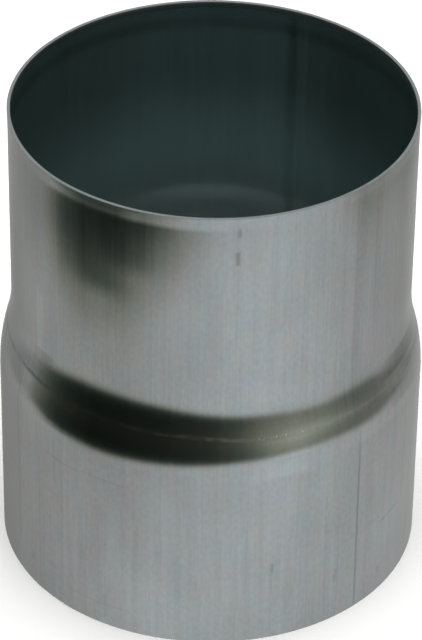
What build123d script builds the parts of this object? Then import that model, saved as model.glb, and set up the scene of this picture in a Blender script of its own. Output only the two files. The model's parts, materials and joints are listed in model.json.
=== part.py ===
"""Downpipe socket: a short coupling tube formed from one rolled and welded zinc sheet.

The narrow upper barrel is the spigot, which slips into the end of one downpipe. The wide lower
barrel is the socket, which slips over the end of the next. An S-shaped step joins the two, and
the sheet has one thickness all the way. The tube stands on the socket's rim at Z = 0.
"""

import os
from math import degrees, radians, tan

from build123d import *

# Driving dimensions, in millimetres and degrees

# The downpipe that the tube couples
PIPE_DIAMETER = 80.0
PIPE_WALL = 0.65

# The tube's own sheet, and the gap on the radius that each barrel leaves to the downpipe
SHEET = 0.65
SOCKET_CLEARANCE = 0.45
SPIGOT_CLEARANCE = 0.75

# Heights along the axis, from the socket's rim upwards
SOCKET_DEPTH = 38.2
STEP_HEIGHT = 18.0
SPIGOT_LENGTH = 39.8

# The top of the spigot is bent outwards a little, and leans by this angle from there to its rim
LIP_HEIGHT = 3.0
LIP_BEND = 1.2
LIP_LEAN = 1.8

# Both cut rims have their edges broken
RIM_CHAMFER = 0.15

# The weld along the tube is rolled down to a low bead on the inner face
SEAM_AZIMUTH = 64.0
SEAM_WIDTH = 1.8
SEAM_RISE = 0.1

# Radii of the two barrels' outer faces
SOCKET_RADIUS = PIPE_DIAMETER / 2 + SOCKET_CLEARANCE + SHEET
SPIGOT_RADIUS = PIPE_DIAMETER / 2 - PIPE_WALL - SPIGOT_CLEARANCE

# Heights where the section changes
STEP_TOP = SOCKET_DEPTH + STEP_HEIGHT
HEIGHT = STEP_TOP + SPIGOT_LENGTH
LIP_FOOT = HEIGHT - LIP_HEIGHT

# The outer face's radii at the top of the lip's bend and at the spigot's rim
BEND_RADIUS = SPIGOT_RADIUS + LIP_BEND * tan(radians(LIP_LEAN / 2))
RIM_RADIUS = BEND_RADIUS + (LIP_HEIGHT - LIP_BEND) * tan(radians(LIP_LEAN))

# Angle about the axis that the seam takes up
SEAM_SPAN = degrees(SEAM_WIDTH / SPIGOT_RADIUS)


def outer_face():
    """The sheet's outer face in section, from the socket's rim up to the spigot's rim."""
    step_middle = ((SOCKET_RADIUS + SPIGOT_RADIUS) / 2, (SOCKET_DEPTH + STEP_TOP) / 2)
    socket = Line((SOCKET_RADIUS, 0), (SOCKET_RADIUS, SOCKET_DEPTH))
    step_bulge = TangentArc(socket @ 1, step_middle, tangent=(0, 1))
    spigot = Line((SPIGOT_RADIUS, STEP_TOP), (SPIGOT_RADIUS, LIP_FOOT))
    step_hollow = TangentArc(step_bulge @ 1, spigot @ 0, tangent=step_bulge % 1)
    lip_bend = TangentArc(spigot @ 1, (BEND_RADIUS, LIP_FOOT + LIP_BEND), tangent=(0, 1))
    lip = Line(lip_bend @ 1, (RIM_RADIUS, HEIGHT))
    return [socket, step_bulge, step_hollow, spigot, lip_bend, lip]


def sheet_section(thickness):
    """The section of the sheet, this thick inwards from its outer face, with broken edges."""
    section = make_face(offset(outer_face(), thickness, side=Side.LEFT))
    corners = section.vertices().sort_by(Axis.Y)
    broken = chamfer(corners[:2] + corners[-2:], RIM_CHAMFER)
    return Plane.XZ * broken


def rolled_sheet():
    """The sheet rolled round the axis, with its two edges facing each other across the seam."""
    sheet = revolve(sheet_section(SHEET), Axis.Z, 360 - SEAM_SPAN)
    return Rot(Z=SEAM_AZIMUTH + SEAM_SPAN / 2) * sheet


def weld_seam():
    """The weld that closes the seam, thicker than the sheet by its bead."""
    seam = revolve(sheet_section(SHEET + SEAM_RISE), Axis.Z, SEAM_SPAN)
    return Rot(Z=SEAM_AZIMUTH - SEAM_SPAN / 2) * seam


downpipe_socket = rolled_sheet() + weld_seam()

os.makedirs("parts", exist_ok=True)
export_step(downpipe_socket, "parts/downpipe_socket.step")
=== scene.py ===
"""A downpipe socket in bright rolled zinc, standing on a pale studio floor.

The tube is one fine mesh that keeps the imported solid's section: the socket, the S-shaped step, the
spigot with its lip, and the weld seam. Lengths are in metres and angles in degrees, unless a table
says otherwise. A bearing is an angle round the tube's axis: 0 faces the camera and 90 is to the right.
"""

import json
import math

import bpy
import numpy as np
from mathutils import Matrix


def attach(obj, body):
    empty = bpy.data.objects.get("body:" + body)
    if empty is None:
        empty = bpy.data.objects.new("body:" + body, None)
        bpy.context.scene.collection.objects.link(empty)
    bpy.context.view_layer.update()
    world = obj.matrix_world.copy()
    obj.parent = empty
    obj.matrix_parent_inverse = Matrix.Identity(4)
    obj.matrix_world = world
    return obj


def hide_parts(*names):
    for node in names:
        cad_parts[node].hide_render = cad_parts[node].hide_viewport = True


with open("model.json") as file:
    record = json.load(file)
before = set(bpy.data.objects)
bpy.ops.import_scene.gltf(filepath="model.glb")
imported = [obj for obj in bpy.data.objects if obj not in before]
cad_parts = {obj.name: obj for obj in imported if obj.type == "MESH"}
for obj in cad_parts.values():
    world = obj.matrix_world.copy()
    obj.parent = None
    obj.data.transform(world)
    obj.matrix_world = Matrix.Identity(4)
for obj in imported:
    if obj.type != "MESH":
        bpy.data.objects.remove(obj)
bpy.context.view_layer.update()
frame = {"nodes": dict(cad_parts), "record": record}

MM = 0.001
NODE = "downpipe_socket"

# Form details that the mounts don't state
LIP_HEIGHT = 3.0 * MM
LIP_BEND = 1.2 * MM
LIP_LEAN = 1.8
SEAM_BEARING = 154.0
SEAM_WIDTH = 1.8 * MM
SEAM_RISE = 0.1 * MM

# The cut ends are rounded a little, more on their inner edge than on the outer one
RIM_ROUND = 0.05 * MM
RIM_ROUND_INSIDE = 0.15 * MM
ROUND_STEPS = 5

# How far apart the mesh's rings lie: on the barrels, on the step, near its middle, and on the lip
BARREL_SPACING = 1.3 * MM
STEP_SPACING = 0.4 * MM
MIDDLE_SPACING = 0.12 * MM
LIP_BEND_SPACING = 0.2 * MM
LIP_SPACING = 0.4 * MM
# How far the closer rings reach from the step's middle, and the height of the socket's first even ring
MIDDLE_REACH = 1.2 * MM
FIRST_RING = 1.0 * MM
# How much coarser the inner face's rings are
INNER_COARSENESS = 2.2
# The mesh's angles on each side of the weld, the seam widths that they reach, and the angles elsewhere
WELD_ANGLES = 7
WELD_REACH = 1.5
OTHER_ANGLES = 290

# The camera, found from the outline of the two barrels
CAMERA_PLACE = (0.0, -0.5770, 0.4547)
CAMERA_DIP = 35.255
CAMERA_ROLL = 0.825
CAMERA_LENS = 204.6
SENSOR_WIDTH = 36.0


# Section of the sheet

def barrel(name):
    """Radius, foot and top of the barrel that a mount describes."""
    mount = next(m for m in frame["record"]["mounts"] if m["name"] == name)
    half = mount["dims"]["length_mm"] * MM / 2
    middle = mount["pos_m"][2]
    return mount["dims"]["r_mm"] * MM, middle - half, middle + half


BORE_RADIUS, _, SOCKET_DEPTH = barrel("socket_bore")
SPIGOT_RADIUS, STEP_TOP, LIP_FOOT = barrel("spigot")
CAD_POINTS = np.array([v.co for v in frame["nodes"][NODE].data.vertices])
SOCKET_RADIUS = float(np.hypot(CAD_POINTS[:, 0], CAD_POINTS[:, 1]).max())
SHEET = SOCKET_RADIUS - BORE_RADIUS
TOP = LIP_FOOT + LIP_HEIGHT
STEP_MIDDLE = (SOCKET_DEPTH + STEP_TOP) / 2


def steps(start, end, size):
    """Values from start towards end, without end, about this far apart."""
    count = max(1, round(abs(end - start) / size))
    return np.linspace(start, end, count, endpoint=False)


def outer_face(coarseness):
    """Points (radius, height) up the sheet's outer face, and the normals there."""
    depth = SOCKET_RADIUS - SPIGOT_RADIUS
    length = STEP_TOP - SOCKET_DEPTH
    turn = 2 * math.atan(depth / length)
    bend = length / (2 * math.sin(turn))
    near_middle = turn - MIDDLE_REACH / bend
    lean = math.radians(LIP_LEAN)
    lip_bend = LIP_BEND / math.sin(lean)
    points, normals = [], []

    def straight(radius, heights):
        for z in heights:
            points.append((radius, z))
            normals.append((1.0, 0.0))

    def arc(centre, radius, angles, side):
        for angle in angles:
            out, up = math.cos(angle), math.sin(angle)
            points.append((centre[0] + side * radius * out, centre[1] + side * radius * up))
            normals.append((out, up))

    wide = STEP_SPACING * coarseness / bend
    close = MIDDLE_SPACING * coarseness / bend
    straight(SOCKET_RADIUS, [RIM_ROUND, RIM_ROUND * 2])
    straight(SOCKET_RADIUS, steps(FIRST_RING, SOCKET_DEPTH, BARREL_SPACING * coarseness))
    bulge_centre = (SOCKET_RADIUS - bend, SOCKET_DEPTH)
    arc(bulge_centre, bend, steps(0, near_middle, wide), 1)
    arc(bulge_centre, bend, steps(near_middle, turn, close), 1)
    hollow_centre = (SPIGOT_RADIUS + bend, STEP_TOP)
    arc(hollow_centre, bend, steps(turn, near_middle, close), -1)
    arc(hollow_centre, bend, steps(near_middle, 0, wide), -1)
    straight(SPIGOT_RADIUS, steps(STEP_TOP, LIP_FOOT, BARREL_SPACING * coarseness))
    lip_centre = (SPIGOT_RADIUS + lip_bend, LIP_FOOT)
    arc(lip_centre, lip_bend, steps(0, -lean, LIP_BEND_SPACING * coarseness / lip_bend), -1)

    bend_radius = SPIGOT_RADIUS + lip_bend * (1 - math.cos(lean))
    bend_top = LIP_FOOT + LIP_BEND
    edge = TOP - RIM_ROUND
    for z in [*steps(bend_top, edge - RIM_ROUND, LIP_SPACING * coarseness), edge - RIM_ROUND, edge]:
        points.append((bend_radius + (z - LIP_FOOT - LIP_BEND) * math.tan(lean), z))
        normals.append((math.cos(lean), -math.sin(lean)))
    return np.array(points), np.array(normals)


def rounded_end(point, normal, up):
    """Points over the cut end of the sheet, from its outer face to its inner one."""
    along = np.array((-normal[1], normal[0])) * up
    outer = point - RIM_ROUND * normal
    inner = point - (SHEET - RIM_ROUND_INSIDE) * normal + (RIM_ROUND - RIM_ROUND_INSIDE) * along
    points = []
    quarter = [math.radians(90 / ROUND_STEPS * k) for k in range(1, ROUND_STEPS + 1)]
    for angle in quarter:
        points.append(outer + RIM_ROUND * (math.cos(angle) * normal + math.sin(angle) * along))
    for angle in reversed(quarter):
        points.append(inner + RIM_ROUND_INSIDE * (math.sin(angle) * along - math.cos(angle) * normal))
    return np.array(points)


def section():
    """The closed section as points (radius, height), and the side that each of them lies on.

    The side is 1 for the outer face, 0 for a cut end and -1 for the inner face.
    """
    outer, _ = outer_face(1.0)
    skin, normals = outer_face(INNER_COARSENESS)
    top = rounded_end(outer[-1], normals[-1], 1)
    foot = rounded_end(outer[0], normals[0], -1)
    inner = skin - SHEET * normals
    inner = inner[(inner[:, 1] > foot[-1, 1]) & (inner[:, 1] < top[-1, 1])]
    points = np.concatenate([outer, top, inner[::-1], foot[::-1]])
    sides = np.repeat([1, 0, -1, 0], [len(outer), len(top), len(inner), len(foot)])
    return points, sides


# The section, and the way along it from the foot of the outer face
POINTS, SIDES = section()
STRIDES = np.hypot(*np.diff(POINTS, axis=0, append=POINTS[:1]).T)
RUN = np.concatenate([[0], np.cumsum(STRIDES)])
OUTER = np.flatnonzero(SIDES > 0)
INNER = np.flatnonzero(SIDES < 0)
OUTER_END = RUN[OUTER[-1]]
INNER_START = RUN[INNER[0]]


def across_at(bearing):
    """How far a bearing lies from the seam on the flat sheet."""
    return math.radians((bearing - SEAM_BEARING) % 360) * SPIGOT_RADIUS


def along_at(height):
    """How far a height of the outer face lies from the foot on the flat sheet."""
    return float(np.interp(height, POINTS[OUTER, 1], RUN[OUTER]))


# The tube's mesh

# The weld's bead on the inner face, and its shallow groove on the outer one
BEAD_WIDTH = SEAM_WIDTH * 0.8
GROOVE_WIDTH = 0.8 * MM
GROOVE_DEPTH = 0.02 * MM

# Waves of the sheet: rise in millimetres, waves round the tube, radians per metre of height, and phase
WAVES = (
    (0.0060, 5, 40, 0.6),
    (0.0040, 11, -55, 2.1),
    (0.0022, 23, 90, 4.0),
    (0.0030, 7, 320, 1.0),
    (0.0025, -13, 410, 0.5),
)

# Shallow swellings of the sheet: bearing, height, width, length and rise, in degrees and millimetres
SWELLINGS = (
    (-32.0, 76.4, 7.5, 5.2, 0.030),
    (-21.5, 82.9, 8.0, 5.4, 0.020),
    (-49.0, 97.3, 13.0, 6.0, 0.090),
    (66.0, 67.0, 9.0, 8.0, 0.012),
    (22.0, 20.0, 9.0, 9.0, 0.008),
    (-58.0, 22.0, 8.0, 9.0, 0.010),
    (137.0, 24.0, 9.0, 7.0, 0.014),
    (-128.0, 79.0, 8.0, 7.0, 0.016),
    (-172.0, 66.0, 10.0, 8.0, 0.012),
)

# The sheet is drawn in by about the height of its waves, so that they stay inside the solid's box
WAVE_ROOM = 0.0195 * MM

# How steeply a bump falls, which gives it its stated width at half its height
BUMP_FALL = 2.77


def azimuths():
    """Angles round the axis from the seam, closer together across the weld."""
    reach = WELD_REACH * SEAM_WIDTH / SPIGOT_RADIUS
    weld = np.linspace(0, reach, WELD_ANGLES)
    rest = np.linspace(reach, 2 * math.pi - reach, OTHER_ANGLES)
    return np.concatenate([weld[:-1], rest, (2 * math.pi - weld[::-1])[1:]])


def bump(x, width):
    """A smooth bump of height 1 and about this full width at half height."""
    return np.exp(-BUMP_FALL * (x / width) ** 2)


def relief(angle, height, side):
    """How far the surface moves along the radius, for the weld and the sheet's waves and swellings."""
    span = np.minimum(angle, 2 * math.pi - angle) * SPIGOT_RADIUS
    inside = np.where(side < 0, 1.0, 0.0)
    outside = np.where(side > 0, 1.0, 0.0)
    bead = SEAM_RISE * inside * bump(span, BEAD_WIDTH)
    groove = GROOVE_DEPTH * outside * bump(span, GROOVE_WIDTH)
    wave = np.zeros_like(angle)
    for rise, count, climb, phase in WAVES:
        wave += rise * MM * np.sin(count * angle + climb * height + phase)
    for bearing, middle, width, length, rise in SWELLINGS:
        turn = angle - math.radians((bearing - SEAM_BEARING) % 360)
        level = height - middle * MM
        wave += rise * MM * bump(turn * SPIGOT_RADIUS, width * MM) * bump(level, length * MM)
    return -bead - groove + wave - WAVE_ROOM


def tube():
    """The revolved sheet as a mesh object, with a UV map that lays the sheet out flat in metres."""
    angle = azimuths()
    rings, turns = len(POINTS), len(angle) - 1
    radius = np.repeat(POINTS[:, :1], turns, axis=1)
    height = np.repeat(POINTS[:, 1:], turns, axis=1)
    side = np.repeat(SIDES[:, None], turns, axis=1)
    around = np.repeat(angle[None, :-1], rings, axis=0)
    radius = radius + relief(around, height, side)
    bearing = around + math.radians(SEAM_BEARING)
    places = np.stack([radius * np.sin(bearing), -radius * np.cos(bearing), height], axis=2)

    ring, turn = np.meshgrid(np.arange(rings), np.arange(turns), indexing="ij")
    next_ring, next_turn = (ring + 1) % rings, (turn + 1) % turns
    corners = [
        ring * turns + turn,
        ring * turns + next_turn,
        next_ring * turns + next_turn,
        next_ring * turns + turn,
    ]
    faces = np.stack(corners, axis=2).reshape(-1, 4)

    mesh = bpy.data.meshes.new("zinc_tube")
    mesh.from_pydata(places.reshape(-1, 3).tolist(), [], faces.tolist())
    mesh.polygons.foreach_set("use_smooth", np.ones(len(faces), bool))

    spread = angle * SPIGOT_RADIUS
    across = np.stack([spread[turn], spread[turn + 1], spread[turn + 1], spread[turn]], axis=2)
    along = np.stack([RUN[ring], RUN[ring], RUN[ring + 1], RUN[ring + 1]], axis=2)
    layer = mesh.uv_layers.new(name="sheet")
    layer.data.foreach_set("uv", np.stack([across, along], axis=3).reshape(-1).astype(np.float32))
    mesh.update()

    piece = bpy.data.objects.new("zinc_tube", mesh)
    bpy.context.scene.collection.objects.link(piece)
    return piece


# Materials

class Nodes:
    """Short calls for building one material's nodes."""

    def __init__(self, name):
        self.material = bpy.data.materials.new(name)
        self.material.use_nodes = True
        self.tree = self.material.node_tree
        self.shader = self.tree.nodes["Principled BSDF"]

    def add(self, kind, settings=(), **inputs):
        """A node with these settings and inputs, named as they are or by place, such as i0."""
        node = self.tree.nodes.new(kind)
        for key, value in dict(settings).items():
            setattr(node, key, value)
        for key, value in inputs.items():
            self.feed(node, int(key[1:]) if key[1:].isdigit() else key, value)
        return node

    def feed(self, node, key, value):
        """Link a socket to a node's input, or set the input to a constant."""
        socket = node.inputs[key]
        if isinstance(value, bpy.types.NodeSocket):
            self.tree.links.new(value, socket)
        else:
            socket.default_value = value

    def math(self, operation, a, b=0.0, c=0.0):
        return self.add("ShaderNodeMath", {"operation": operation}, i0=a, i1=b, i2=c).outputs[0]

    def split(self, vector):
        return self.add("ShaderNodeSeparateXYZ", i0=vector).outputs

    def noise(self, sheet, kind):
        """Noise on the flat sheet, with grains per metre across and along it, detail and roughness."""
        across, along, detail, roughness = kind
        grains = {"operation": "MULTIPLY"}
        place = self.add("ShaderNodeVectorMath", grains, i0=sheet, i1=(across, along, 0.0))
        flat = {"noise_dimensions": "2D"}
        node = self.add("ShaderNodeTexNoise", flat, Vector=place.outputs[0], Scale=1.0, Detail=detail)
        self.feed(node, "Roughness", roughness)
        return node.outputs["Fac"]

    def remap(self, value, low, high, to_low=0.0, to_high=1.0):
        """The value taken smoothly from one range to another, and held at the ends."""
        smooth = {"interpolation_type": "SMOOTHSTEP"}
        node = self.add("ShaderNodeMapRange", smooth, i0=value, i1=low, i2=high, i3=to_low, i4=to_high)
        return node.outputs[0]

    def swing(self, value, span, most):
        """The value's span taken to this much below and above 0."""
        return self.remap(value, *span, -most, most)

    def mix(self, amount, a, b, blend="MIX"):
        colours = {"data_type": "RGBA", "blend_type": blend}
        return self.add("ShaderNodeMix", colours, i0=amount, i6=a, i7=b).outputs[2]

    def grey(self, level):
        return self.add("ShaderNodeCombineXYZ", i0=level, i1=level, i2=level).outputs[0]

    def within(self, value, middle, half, full=0.2):
        """1 at the middle and for this share of the half width, then falling smoothly to 0."""
        away = self.math("ABSOLUTE", self.math("SUBTRACT", value, middle))
        return self.remap(away, half, half * full)


# Handling and drawing marks on the outer face, and painted highlights and painted shade on the lip and the
# step, each a soft dark streak,
# or a light one if its depth is below 0: bearing, height, length, width, tilt from upright and depth of
# tone, in degrees and millimetres
MARKS_AND_PAINTED_LIGHT = (
    # Drawing lines to the right and to the left
    (44.0, 20.0, 52.0, 0.70, 0, 0.26),
    (45.0, 77.0, 62.0, 2.80, 0, 0.08),
    (43.4, 75.0, 60.0, 0.70, 0, 0.09),
    (46.8, 76.0, 60.0, 0.80, 0, 0.05),
    (51.5, 76.0, 36.0, 0.80, 0, 0.05),
    (33.0, 17.0, 34.0, 0.70, 0, 0.05),
    (37.5, 15.0, 28.0, 0.60, 0, 0.06),
    (66.0, 24.0, 20.0, 1.00, 0, 0.10),
    (-63.2, 27.0, 46.0, 1.10, 0, 0.14),
    (-28.4, 18.0, 38.0, 0.80, 0, 0.05),
    (-28.6, 4.5, 7.0, 1.30, 0, 0.08),
    (-43.0, 17.0, 32.0, 0.80, 0, 0.04),
    # Two nicks under the lip
    (7.4, 92.9, 2.4, 1.30, 0, 0.20),
    (7.0, 87.3, 3.6, 1.30, 0, 0.28),
    # Painted highlights and painted shade along the lip
    (-22.5, 94.4, 2.6, 6.00, 0, -0.35),
    (-31.0, 95.1, 15.0, 1.20, 90, 0.19),
    (-30.0, 94.2, 13.0, 2.60, 90, 0.05),
    (-45.5, 94.5, 7.0, 2.00, 90, -0.15),
    (47.0, 94.8, 3.6, 22.00, 0, 0.15),
    # Painted reflection on the step, to the right and to the left: dark and light patches that shape the
    # ends and edges of the step's dark band, and a painted highlight under it
    (71.0, 50.6, 4.6, 24.00, 0, 0.38),
    (67.0, 44.0, 4.6, 18.00, 0, 0.22),
    (62.0, 47.2, 3.6, 14.00, 0, -0.20),
    (22.0, 44.6, 5.0, 16.00, 0, -0.32),
    (21.0, 40.6, 5.0, 18.00, 0, -0.10),
    (-54.5, 53.3, 4.2, 10.00, 0, 0.26),
    (-45.5, 42.4, 2.6, 12.00, 0, 0.22),
    (-60.5, 45.8, 6.0, 7.00, 0, -0.20),
    # Scratches and nicks, upright ones first
    (7.0, 80.0, 36.0, 1.00, 0, 0.07),
    (17.4, 17.0, 2.6, 0.90, 0, 0.20),
    (17.2, 13.5, 7.0, 0.70, 0, 0.08),
    (37.0, 11.2, 2.4, 1.00, 0, 0.12),
    (36.4, 9.6, 2.6, 1.00, 0, 0.12),
    (54.0, 4.9, 2.2, 1.60, 0, 0.10),
    (-55.7, 6.4, 2.4, 1.80, 0, 0.12),
    (58.4, 17.0, 8.0, 0.70, 95, 0.18),
    (46.5, 18.0, 12.0, 0.60, 94, 0.08),
    (-43.5, 34.6, 10.0, 0.60, 88, 0.10),
    (-29.0, 35.0, 12.0, 0.60, 88, 0.08),
    (-46.6, 26.0, 5.0, 0.60, 87, 0.09),
    (-31.0, 4.8, 16.0, 0.80, 90, 0.07),
    # A pale streak above the step, to the left
    (-56.0, 60.0, 20.0, 4.00, 0, -0.12),
    # On the far side
    (-120.0, 70.0, 30.0, 0.80, 0, 0.08),
    (128.0, 20.0, 34.0, 0.70, 0, 0.12),
    (175.0, 78.0, 9.0, 0.60, 80, 0.12),
    (-160.0, 14.0, 14.0, 0.70, 97, 0.10),
)
# Share of a mark's length over which it keeps its full depth
MARK_BODY = 0.6

# Noises on the flat sheet: grains per metre across and along it, detail and roughness
FINE_LINES = (2000, 30, 3.0, 0.6)
BROAD_LINES = (640, 20, 2.0, 0.5)
CLOUDS = (110, 70, 3.0, 0.5)
GRAIN = (1300, 800, 2.0, 0.5)
WARMTH = (260, 110, 3.0, 0.5)
CREASE_BREAKS = (420, 900, 2.0, 0.5)
GLINT_SPECKS = (2200, 1500, 1.0, 0.5)
# The span of each noise that is used
FINE_SPAN = (0.2, 0.8)
BROAD_SPAN = (0.25, 0.75)
PATCH_SPAN = (0.3, 0.7)
WARMTH_SPAN = (0.35, 0.65)
BREAK_SPAN = (0.35, 0.6)
SPECK_SPAN = (0.58, 0.68)
# How much the drawing lines and the soft patches lighten or darken the metal
FINE_TONE = 0.038
SOFT_TONE = 0.03

# The crease is a fine ring halfway up the step. It climbs to the left, from one bearing to another by a
# height, and is level again near the seam.
CREASE_RUN = along_at(STEP_MIDDLE)
CREASE_HALF = 0.65 * MM
CREASE_CLIMBS = ((15, -10, 0.95 * MM), (-15, -60, 0.35 * MM))
CREASE_LEVEL = (20.0 * MM, 60.0 * MM)
CREASE_FAINTEST = 0.25
# Its painted shade and painted highlight: how much it darkens the metal to the right and to the left, or
# lightens it below 0, the bearings where that changes, and the stretch of its painted highlight
CREASE_TONES = (-0.08, 0.3)
CREASE_CHANGE = (-30, -60)
CREASE_HIGHLIGHT_BEARING = -6
CREASE_HIGHLIGHT_HALF = 14.0 * MM
CREASE_HIGHLIGHT_TONE = -0.75
# A painted sheen on the step's right, lighter tone standing in for reflected light: a patch along the
# crease, and the step's lower half, which sets in between two bearings
SHEEN_TONE = 0.14
SHEEN_BEARING = 32
SHEEN_HALF = 14.0 * MM
SHEEN_RISE = 1.8 * MM
SHEEN_BODY = 0.1
LOW_SHEEN_START = (25, 55)
LOW_SHEEN_HALF = 4.4 * MM
LOW_SHEEN_BODY = 0.4
# Painted glints on the crease, light specks standing in for highlights
GLINT_BEARING = 18.5
GLINT_REACH = 7.0 * MM
GLINT_BODY = 0.6
GLINT_HALF = 0.4 * MM

# The cut end's look sets in this far before its outer edge, and the inner face's look past its inner edge
CUT_FADE = 0.1 * MM
INNER_FADE = (0.1 * MM, 0.5 * MM)
# Painted shade on the inner face: how much it is darkened, or lightened below 0, by its depth under the
# rim: two depths with the tones there, on the spigot and on the step, and a hoop of painted shade just
# under the rim
SPIGOT_SHADE = (12.0 * MM, 37.0 * MM, 0.17, -0.54)
STEP_SHADE = (39.0 * MM, 42.0 * MM, 0.0, 0.44)
SHADE_HOOP_DEPTH = 3.5 * MM
SHADE_HOOP_HALF = 2.0 * MM
SHADE_HOOP_TONE = 0.2
# Strips along the seam: distance across the sheet, half width and tone
SEAM_STRIPS = ((1.7 * MM, 1.7 * MM, 0.24), (241.3 * MM, 0.6 * MM, -0.12))
# Where painted shade darkens the inner face, across the sheet from the seam: lightly, fully, and at its end
SOFT_INNER_SHADE = (30.0 * MM, 80.0 * MM)
SOFT_INNER_SHADE_SHARE = 0.65
FULL_INNER_SHADE = (120.0 * MM, 200.0 * MM)
INNER_SHADE_END = (242.0 * MM, 230.0 * MM)

# Colours of the metal: two tints of the outer face, the cut ends, lighter partly as bare cut metal and
# partly as a painted highlight along the rim, the inner face unshaded and in painted shade, and the painted
# glints
WARM_TINT = (0.342, 0.338, 0.332, 1)
COOL_TINT = (0.327, 0.342, 0.343, 1)
CUT_TINT = (0.41, 0.445, 0.445, 1)
INNER_TINT = (0.265, 0.385, 0.38, 1)
INNER_SHADE_TINT = (0.195, 0.285, 0.275, 1)
GLINT_TINT = (0.54, 0.55, 0.53, 1)

# Roughness over the broad lines, and what the fine lines, the crease, the cut ends and the inner face add
ROUGHNESS = (0.153, 0.167)
FINE_ROUGHNESS = 0.005
CREASE_ROUGHNESS = 0.06
CUT_ROUGHNESS = 0.3
INNER_ROUGHNESS = 0.06
# How metallic the dull inner face is, and how far the drawing lines stretch what the metal mirrors
INNER_METAL = 0.9
ANISOTROPY = 0.7
# How high the drawing lines stand
FINE_RISE = 0.0012 * MM
BROAD_RISE = 0.0025 * MM


def marks_and_painted_light(nodes, sheet):
    """How much the marks, and the painted highlights and painted shade among them, darken the metal."""
    total = 0.0
    for bearing, height, length, width, tilt, depth in MARKS_AND_PAINTED_LIGHT:
        lens = nodes.add(
            "ShaderNodeMapping",
            {"vector_type": "TEXTURE"},
            Vector=sheet,
            Location=(across_at(bearing), along_at(height * MM), 0),
            Rotation=(0, 0, math.radians(tilt)),
            Scale=(width * MM / 2, length * MM / 2, 1),
        )
        away = nodes.split(lens.outputs[0])
        wide = nodes.within(away[0], 0.0, 1.0)
        long = nodes.within(away[1], 0.0, 1.0, MARK_BODY)
        total = nodes.math("MULTIPLY_ADD", nodes.math("MULTIPLY", wide, long), depth, total)
    return total


def between(nodes, across, ends, low=0.0, high=1.0):
    """A smooth change from one value to another between two bearings."""
    start, end = ends
    return nodes.remap(across, across_at(start), across_at(end), low, high)


def crease_share(nodes, sheet, across, along):
    """How far the crease shows at a place."""
    lift = 0.0
    for start, end, climb in CREASE_CLIMBS:
        lift = nodes.math("ADD", lift, between(nodes, across, (start, end), 0.0, climb))
    lift = nodes.math("MULTIPLY", lift, nodes.remap(across, *CREASE_LEVEL))
    line = nodes.within(nodes.math("SUBTRACT", along, lift), CREASE_RUN, CREASE_HALF)
    breaks = nodes.remap(nodes.noise(sheet, CREASE_BREAKS), *BREAK_SPAN, CREASE_FAINTEST, 1.0)
    return nodes.math("MULTIPLY", line, breaks)


def crease_painted_light(nodes, across):
    """How much the crease darkens the metal with painted shade, less what its painted highlight lightens.
    """
    left = between(nodes, across, CREASE_CHANGE)
    # The crease's painted highlight, a lighter stretch near the front
    light = nodes.within(across, across_at(CREASE_HIGHLIGHT_BEARING), CREASE_HIGHLIGHT_HALF)
    return nodes.math("MULTIPLY_ADD", light, CREASE_HIGHLIGHT_TONE, nodes.remap(left, 0.0, 1.0, *CREASE_TONES))


def step_painted_sheen(nodes, across, along):
    """How much the painted sheen lightens the step's right."""
    near_crease = nodes.within(along, CREASE_RUN, SHEEN_RISE, SHEEN_BODY)
    stretch = nodes.within(across, across_at(SHEEN_BEARING), SHEEN_HALF)
    patch = nodes.math("MULTIPLY", near_crease, stretch)
    below = nodes.within(along, CREASE_RUN - LOW_SHEEN_HALF, LOW_SHEEN_HALF, LOW_SHEEN_BODY)
    low = nodes.math("MULTIPLY", below, between(nodes, across, LOW_SHEEN_START))
    return nodes.math("MULTIPLY", nodes.math("ADD", patch, low), SHEEN_TONE)


def painted_glints(nodes, sheet, across, along):
    """How far the painted glints show on the crease."""
    specks = nodes.remap(nodes.noise(sheet, GLINT_SPECKS), *SPECK_SPAN)
    stretch = nodes.within(across, across_at(GLINT_BEARING), GLINT_REACH, GLINT_BODY)
    glint = nodes.math("MULTIPLY", specks, stretch)
    return nodes.math("MULTIPLY", glint, nodes.within(along, CREASE_RUN, GLINT_HALF))


def drawing_lines(nodes, sheet, fine, broad):
    """How much the drawing lines and the soft patches lighten the metal."""
    lines = nodes.swing(fine, FINE_SPAN, FINE_TONE)
    lines = nodes.math("ADD", lines, nodes.swing(broad, BROAD_SPAN, SOFT_TONE))
    for kind in (CLOUDS, GRAIN):
        lines = nodes.math("ADD", lines, nodes.swing(nodes.noise(sheet, kind), PATCH_SPAN, SOFT_TONE))
    return lines


def inner_painted_shade_and_seam(nodes, across, along):
    """How much the inner face is darkened: painted shade by its depth, and strips along the seam."""
    depth = nodes.math("SUBTRACT", along, INNER_START)
    shade = nodes.math("ADD", nodes.remap(depth, *SPIGOT_SHADE), nodes.remap(depth, *STEP_SHADE))
    shade_hoop = nodes.within(depth, SHADE_HOOP_DEPTH, SHADE_HOOP_HALF)
    shade = nodes.math("MULTIPLY_ADD", shade_hoop, SHADE_HOOP_TONE, shade)
    for middle, half, tone in SEAM_STRIPS:
        strip = nodes.within(across, middle, half)
        shade = nodes.math("MULTIPLY_ADD", strip, tone, shade)
    return shade


def inner_tint_and_shade(nodes, across):
    """The inner face's colour round the tube, turning to painted shade across the sheet from the seam."""
    full = nodes.math("MULTIPLY", nodes.remap(across, *FULL_INNER_SHADE), nodes.remap(across, *INNER_SHADE_END))
    light = nodes.math("MULTIPLY", nodes.remap(across, *SOFT_INNER_SHADE), SOFT_INNER_SHADE_SHARE)
    return nodes.mix(nodes.math("MAXIMUM", full, light), INNER_TINT, INNER_SHADE_TINT)


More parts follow.
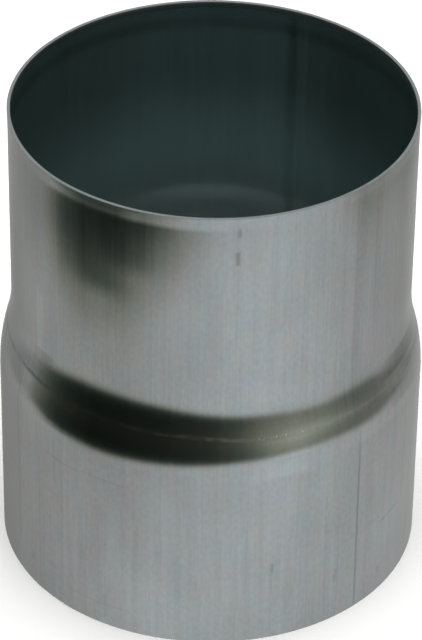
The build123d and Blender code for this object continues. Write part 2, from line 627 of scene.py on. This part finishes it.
def zinc():
    """Bright rolled zinc with lengthwise drawing lines, soft tint patches and handling marks, with painted
    highlights, glints, sheen and shade on the lip, the step and the inner face.
    """
    nodes = Nodes("zinc_bright")
    sheet = nodes.add("ShaderNodeUVMap", {"uv_map": "sheet"}).outputs[0]
    across, along, _ = nodes.split(sheet)
    fine, broad = nodes.noise(sheet, FINE_LINES), nodes.noise(sheet, BROAD_LINES)
    inside = nodes.remap(along, INNER_START + INNER_FADE[0], INNER_START + INNER_FADE[1])
    cut = nodes.math("SUBTRACT", nodes.remap(along, OUTER_END - CUT_FADE, OUTER_END), inside)
    crease = crease_share(nodes, sheet, across, along)

    # Darkening of the metal: the marks with their painted highlights and painted shade, the crease's
    # painted highlight and shade, less the painted sheen on the step, and the painted shade on the inner
    # face
    dark = nodes.math("MULTIPLY_ADD", crease, crease_painted_light(nodes, across), marks_and_painted_light(nodes, sheet))
    dark = nodes.math("SUBTRACT", dark, step_painted_sheen(nodes, across, along))
    dark = nodes.math("MULTIPLY_ADD", inside, inner_painted_shade_and_seam(nodes, across, along), dark)
    light = nodes.math("ADD", drawing_lines(nodes, sheet, fine, broad), 1.0)
    tint = nodes.mix(nodes.remap(nodes.noise(sheet, WARMTH), *WARMTH_SPAN), WARM_TINT, COOL_TINT)
    tint = nodes.mix(cut, tint, CUT_TINT)
    # The inner face's colour with its painted shade, then the painted glints on the crease
    tint = nodes.mix(inside, tint, inner_tint_and_shade(nodes, across))
    tint = nodes.mix(painted_glints(nodes, sheet, across, along), tint, GLINT_TINT)
    level = nodes.grey(nodes.math("SUBTRACT", light, dark))
    nodes.feed(nodes.shader, "Base Color", nodes.mix(1.0, tint, level, "MULTIPLY"))
    nodes.feed(nodes.shader, "Metallic", nodes.remap(inside, 0.0, 1.0, 1.0, INNER_METAL))

    rough = nodes.remap(broad, *BROAD_SPAN, *ROUGHNESS)
    rough = nodes.math("ADD", rough, nodes.swing(fine, FINE_SPAN, FINE_ROUGHNESS))
    for share, more in ((crease, CREASE_ROUGHNESS), (cut, CUT_ROUGHNESS), (inside, INNER_ROUGHNESS)):
        rough = nodes.math("MULTIPLY_ADD", share, more, rough)
    nodes.feed(nodes.shader, "Roughness", rough)
    nodes.feed(nodes.shader, "Anisotropic", ANISOTROPY)
    around = nodes.add("ShaderNodeTangent", {"direction_type": "RADIAL", "axis": "Z"})
    nodes.feed(nodes.shader, "Tangent", around.outputs[0])
    rise = nodes.math("MULTIPLY_ADD", fine, FINE_RISE, nodes.math("MULTIPLY", broad, BROAD_RISE))
    lines = nodes.add("ShaderNodeBump", Distance=1.0, Height=rise)
    nodes.feed(nodes.shader, "Normal", lines.outputs[0])
    return nodes.material


def plain(name, colour, glow=0.0):
    """A matt studio surface, or a glowing one."""
    nodes = Nodes(name)
    nodes.feed(nodes.shader, "Base Color", (*colour, 1) if not glow else (0, 0, 0, 1))
    nodes.feed(nodes.shader, "Roughness", 1.0)
    nodes.feed(nodes.shader, "Specular IOR Level", 0.0)
    nodes.feed(nodes.shader, "Emission Color", (*colour, 1))
    nodes.feed(nodes.shader, "Emission Strength", glow)
    return nodes.material


# Studio

# The sheet that the metal mirrors lies this far below the floor, with this many points round it. Curves
# by bearing give how far its pale part reaches, and the tones of that part and of what lies beyond it.
MIRRORED_DROP = 57.0 * MM
MIRRORED_TURNS = 144
PALE_REACH = (
    (-110, 0.225), (-96, 0.238), (-88, 0.227), (-70, 0.221), (-48, 0.228), (-30, 0.243), (-13, 0.264),
    (15, 0.300), (45, 0.310), (60, 0.303), (80, 0.264), (92, 0.252), (104, 0.257), (112, 0.258),
    (121, 0.250), (138, 0.245),
)
PALE_TONE = (
    (-180, 0.50), (-140, 0.37), (-105, 0.68), (-50, 0.70), (0, 0.985),
    (25, 1.03), (60, 0.87), (100, 0.67), (130, 0.50), (180, 0.50),
)
BEYOND_TONE = (
    (-180, 0.72), (-125, 0.72), (-108, 0.74), (-102, 0.76), (-98, 0.53), (-94, 0.33), (-88, 0.15),
    (-82, 0.07), (-75, 0.05), (-60, 0.02), (-28, 0.03), (0, 0.06), (15, 0.16), (30, 0.48), (44, 0.66),
    (58, 0.58), (75, 0.42), (90, 0.43), (98, 0.50), (108, 0.56), (130, 0.56), (180, 0.72),
)
# Share of the pale tone close to the tube, and midway
NEAR_SHARE = (
    (-180, 0.9), (-112, 0.74), (-80, 0.97), (-60, 1.05), (-45, 1.20), (-28, 1.18), (0, 0.97),
    (15, 0.93), (30, 0.955), (50, 0.94), (73, 1.04), (104, 1.14), (180, 0.9),
)
MIDWAY_SHARE = (
    (-180, 1.0), (-112, 0.88), (-60, 1.0), (-45, 0.89), (-28, 0.91), (0, 0.955), (15, 1.0), (30, 1.07),
    (50, 1.08), (75, 1.03), (110, 1.0), (180, 1.0),
)
# Radii of the near and midway tones, and of the sheet's darker centre with its share of the near tone
NEAR_RADIUS = 0.115
MIDWAY_RADIUS = 0.17
CENTRE_RADIUS = 1.0 * MM
CENTRE_SHARE = 0.4
# The pale tone is whole up to this share of the reach, and then falls: share of the reach, and of the tone
PALE_WHOLE = 0.9
PALE_EDGE = ((0.95, 0.79), (0.98, 0.60), (1.0, 0.44), (1.02, 0.27), (1.05, 0.09), (1.09, 0.0))
# What lies beyond starts with this share of its tone, is midway to the whole of it at one radius and has
# it at the next, and turns up into a low wall at the sheet's end
BEYOND_START = 0.6
BEYOND_MIDWAY = 0.45
BEYOND_WHOLE = 0.7
MIRRORED_END = 1.5
MIRRORED_WALL = 0.25
# Red and blue over green by tone: in the pale part, across its edge and far beyond it
PALE_RED = ((0.35, 0.99), (0.6, 0.985), (0.8, 0.965), (1.0, 0.935))
PALE_BLUE = ((0.35, 0.97), (0.6, 0.985), (0.8, 1.01), (1.0, 1.035))
EDGE_RED = ((0.0, 0.50), (0.1, 0.72), (0.25, 0.87), (0.45, 0.96), (0.7, 0.985), (1.0, 0.95))
EDGE_BLUE = ((0.0, 0.84), (0.1, 0.80), (0.3, 0.79), (0.5, 0.83), (0.65, 0.93), (0.8, 1.0), (1.0, 1.02))
FAR_RED = ((0.0, 0.86), (0.1, 0.90), (0.5, 0.96))
FAR_BLUE = ((0.0, 0.78), (0.3, 0.80), (0.5, 0.84))
# How far the tints of the edge and beyond show in place of the pale part's, by bearing
EDGE_TINT = ((-180, 0.0), (-104, 0.0), (-92, 1.0), (58, 1.0), (80, 0.6), (110, 0.2), (180, 0.0))

# What the inner face sees in the tube's foot: radius, and the tone at the back and at the front
FOOT_TONE = (
    (1.0 * MM, 0.09, 0.09), (4.0 * MM, 0.07, 0.09), (6.0 * MM, 0.07, 0.135), (22.0 * MM, 0.07, 0.145),
    (23.5 * MM, 0.07, 0.035), (40.25 * MM, 0.07, 0.030),
)
FOOT_HEIGHT = 0.3 * MM

# Floor, and the backdrop that rises at its end and closes in above the light
FLOOR_COLOUR = (0.86, 0.86, 0.85)
FLOOR_END = 3.0
FLOOR_TURNS = 72
WALL_HEIGHT = 2.5
CEILING_RADIUS = 0.5
CEILING_HEIGHT = 4.0
# The overhead light
LAMP_SIZE = 1.4
LAMP_POWER = 26.0
LAMP_PLACE = (0.1, -0.1, 1.5)

# The room's tone by how steeply one looks up, as the height of a look of length 1: dark, then bright
DARK_LOOK, DARK_TONE = 0.12, 0.015
BRIGHT_LOOK, BRIGHT_TONE = 0.55, 0.7


def stage_object(name, mesh, material, **sight):
    """A stage object with this material, seen or missed by the named kinds of ray."""
    mesh.materials.append(material)
    thing = bpy.data.objects.new(name, mesh)
    bpy.context.scene.collection.objects.link(thing)
    for ray, seen in sight.items():
        setattr(thing, "visible_" + ray, seen)


def bearings(turns):
    """Bearings all the way round."""
    return np.linspace(-180, 180, turns, endpoint=False)


def circle(turns):
    """Unit vectors all the way round the axis."""
    around = np.radians(bearings(turns))
    return np.stack([np.sin(around), -np.cos(around), np.zeros(turns)], axis=1)


def lathe(rows, closed):
    """Points, and quads between neighbouring rows of them, joined all the way round."""
    count = len(rows[0])
    faces = []
    for k in range(len(rows) - 1):
        for i in range(count):
            j = (i + 1) % count
            faces.append((k * count + i, k * count + j, (k + 1) * count + j, (k + 1) * count + i))
    if closed:
        faces.append(tuple(range((len(rows) - 1) * count, len(rows) * count)))
    return np.concatenate(rows).tolist(), faces


def curve(knots, at):
    """The value of a curve, given by its knots, at these places."""
    return np.interp(at, *np.array(knots).T)


def glowing(name, rows, colours):
    """A mesh of rows of points with these colours, which only mirrors see."""
    mesh = bpy.data.meshes.new(name)
    points, faces = lathe(rows, False)
    mesh.from_pydata(points, [], faces)
    paint = mesh.color_attributes.new("tone", "FLOAT_COLOR", "POINT")
    paint.data.foreach_set("color", np.concatenate(colours).ravel())
    nodes = Nodes(name)
    tone = nodes.add("ShaderNodeVertexColor", {"layer_name": "tone"})
    nodes.feed(nodes.shader, "Base Color", (0, 0, 0, 1))
    nodes.feed(nodes.shader, "Specular IOR Level", 0.0)
    nodes.feed(nodes.shader, "Emission Color", tone.outputs[0])
    nodes.feed(nodes.shader, "Emission Strength", 1.0)
    stage_object(name, mesh, nodes.material, camera=False, diffuse=False, shadow=False)


def tinted(tone, red, blue):
    """Colours of these tones, with red and blue as curves by tone."""
    return np.stack([tone * curve(red, tone), tone, tone * curve(blue, tone), np.ones_like(tone)], axis=1)


def mirrored_sheet():
    """The floor and the room's foot as the metal sees them: pale near the tube, dark beyond on the left."""
    flat = circle(MIRRORED_TURNS)
    bearing = bearings(MIRRORED_TURNS)
    reach, pale, beyond = (curve(knots, bearing) for knots in (PALE_REACH, PALE_TONE, BEYOND_TONE))
    near = pale * curve(NEAR_SHARE, bearing)
    midway = pale * curve(MIDWAY_SHARE, bearing)
    edge_share = curve(EDGE_TINT, bearing)[:, None]
    rows, colours = [], []

    def row(radius, tone, red, blue, rise=0.0):
        out = radius * np.ones(len(flat))
        rows.append(flat * out[:, None] + [0, 0, rise - MIRRORED_DROP])
        pale_colours = tinted(tone, PALE_RED, PALE_BLUE)
        colours.append(edge_share * tinted(tone, red, blue) + (1 - edge_share) * pale_colours)

    row(CENTRE_RADIUS, near * CENTRE_SHARE, PALE_RED, PALE_BLUE)
    row(NEAR_RADIUS, near, PALE_RED, PALE_BLUE)
    row(MIDWAY_RADIUS, midway, PALE_RED, PALE_BLUE)
    row(reach * PALE_WHOLE, pale, PALE_RED, PALE_BLUE)
    for share, left in PALE_EDGE:
        row(reach * share, pale * left + beyond * BEYOND_START * (1 - left), EDGE_RED, EDGE_BLUE)
    row(BEYOND_MIDWAY, beyond * (1 + BEYOND_START) / 2, FAR_RED, FAR_BLUE)
    row(BEYOND_WHOLE, beyond, FAR_RED, FAR_BLUE)
    row(MIRRORED_END, beyond, FAR_RED, FAR_BLUE)
    row(MIRRORED_END, beyond, FAR_RED, FAR_BLUE, MIRRORED_WALL)
    glowing("mirrored_sheet", rows, colours)


def shaded_foot():
    """The floor inside the tube's foot, as the inner face sees it."""
    flat = circle(MIRRORED_TURNS)
    ahead = 0.5 + 0.5 * np.cos(np.radians(bearings(MIRRORED_TURNS)))
    share = ahead[:, None] * np.ones(4)
    rows = [flat * radius + [0, 0, FOOT_HEIGHT] for radius, _, _ in FOOT_TONE]
    glowing("shaded_foot", rows, [back + (front - back) * share for _, back, front in FOOT_TONE])


def studio():
    """Pale floor, white backdrop and one soft overhead light."""
    end = circle(FLOOR_TURNS) * FLOOR_END
    floor = bpy.data.meshes.new("floor")
    floor.from_pydata(end.tolist(), [], [tuple(range(FLOOR_TURNS))])
    stage_object("floor", floor, plain("floor_pale", FLOOR_COLOUR), glossy=False)

    ceiling = circle(FLOOR_TURNS) * CEILING_RADIUS + [0, 0, CEILING_HEIGHT]
    points, faces = lathe([end, end + [0, 0, WALL_HEIGHT], ceiling], True)
    wall = bpy.data.meshes.new("backdrop")
    wall.from_pydata(points, [], faces)
    white = plain("backdrop_white", (1, 1, 1), 1.0)
    stage_object("backdrop", wall, white, glossy=False, diffuse=False, shadow=False)

    lamp = bpy.data.lights.new("overhead", "AREA")
    lamp.shape = "SQUARE"
    lamp.size = LAMP_SIZE
    lamp.energy = LAMP_POWER
    holder = bpy.data.objects.new("overhead", lamp)
    holder.location = LAMP_PLACE
    holder.visible_glossy = False
    holder.visible_camera = False
    bpy.context.scene.collection.objects.link(holder)


def room():
    """Dark at the horizon and bright overhead, as the metal sees the room."""
    world = bpy.data.worlds.new("room")
    bpy.context.scene.world = world
    world.use_nodes = True
    tree = world.node_tree
    place = tree.nodes.new("ShaderNodeTexCoord")
    split = tree.nodes.new("ShaderNodeSeparateXYZ")
    tone = tree.nodes.new("ShaderNodeMapRange")
    tone.interpolation_type = "SMOOTHSTEP"
    tone.inputs["From Min"].default_value = DARK_LOOK
    tone.inputs["From Max"].default_value = BRIGHT_LOOK
    tone.inputs["To Min"].default_value = DARK_TONE
    tone.inputs["To Max"].default_value = BRIGHT_TONE
    tree.links.new(place.outputs["Generated"], split.inputs[0])
    tree.links.new(split.outputs[2], tone.inputs[0])
    tree.links.new(tone.outputs[0], tree.nodes["Background"].inputs["Strength"])
    tree.nodes["Background"].inputs["Color"].default_value = (1, 1, 1, 1)


def camera():
    """The photograph's view."""
    data = bpy.data.cameras.new("camera")
    data.lens = CAMERA_LENS
    data.sensor_width = SENSOR_WIDTH
    eye = bpy.data.objects.new("camera", data)
    tip = Matrix.Rotation(math.radians(90 - CAMERA_DIP), 4, "X")
    roll = Matrix.Rotation(math.radians(CAMERA_ROLL), 4, "Z")
    eye.matrix_world = Matrix.Translation(CAMERA_PLACE) @ tip @ roll
    bpy.context.scene.collection.objects.link(eye)
    bpy.context.scene.camera = eye


piece = tube()
piece.data.materials.append(zinc())
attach(piece, "root")
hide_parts(NODE)
mirrored_sheet()
shaded_foot()
studio()
room()
camera()
bpy.context.scene.view_settings.view_transform = "Standard"
